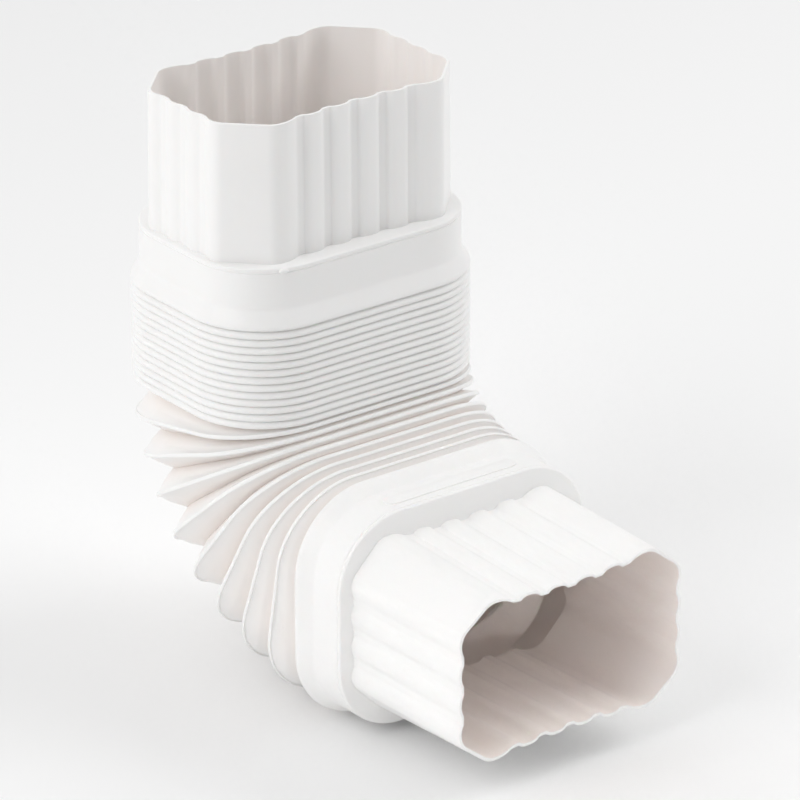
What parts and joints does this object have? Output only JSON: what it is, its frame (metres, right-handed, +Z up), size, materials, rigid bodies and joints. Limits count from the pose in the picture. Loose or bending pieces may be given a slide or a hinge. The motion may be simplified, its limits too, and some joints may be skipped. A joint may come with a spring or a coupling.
{
  "type": "flexible downspout elbow",
  "caption": "White plastic elbow that joins rectangular rainwater pipes: a ribbed socket above, a pleated bellows round a right-angle bend, and a ribbed tapering spigot.",
  "frame": {"origin": "centre of the inlet socket's mouth", "axes": "+Z up, out of the inlet's mouth; +X the way the water leaves the outlet; the wide side lies along Y and both halves match across Y = 0"},
  "size_m": [0.1586, 0.0922, 0.169],
  "materials": {
    "white_plastic": "satin white moulded plastic"
  },
  "bodies": {
    "root": {"elbow_body": "white_plastic"}
  },
  "joints": []
}
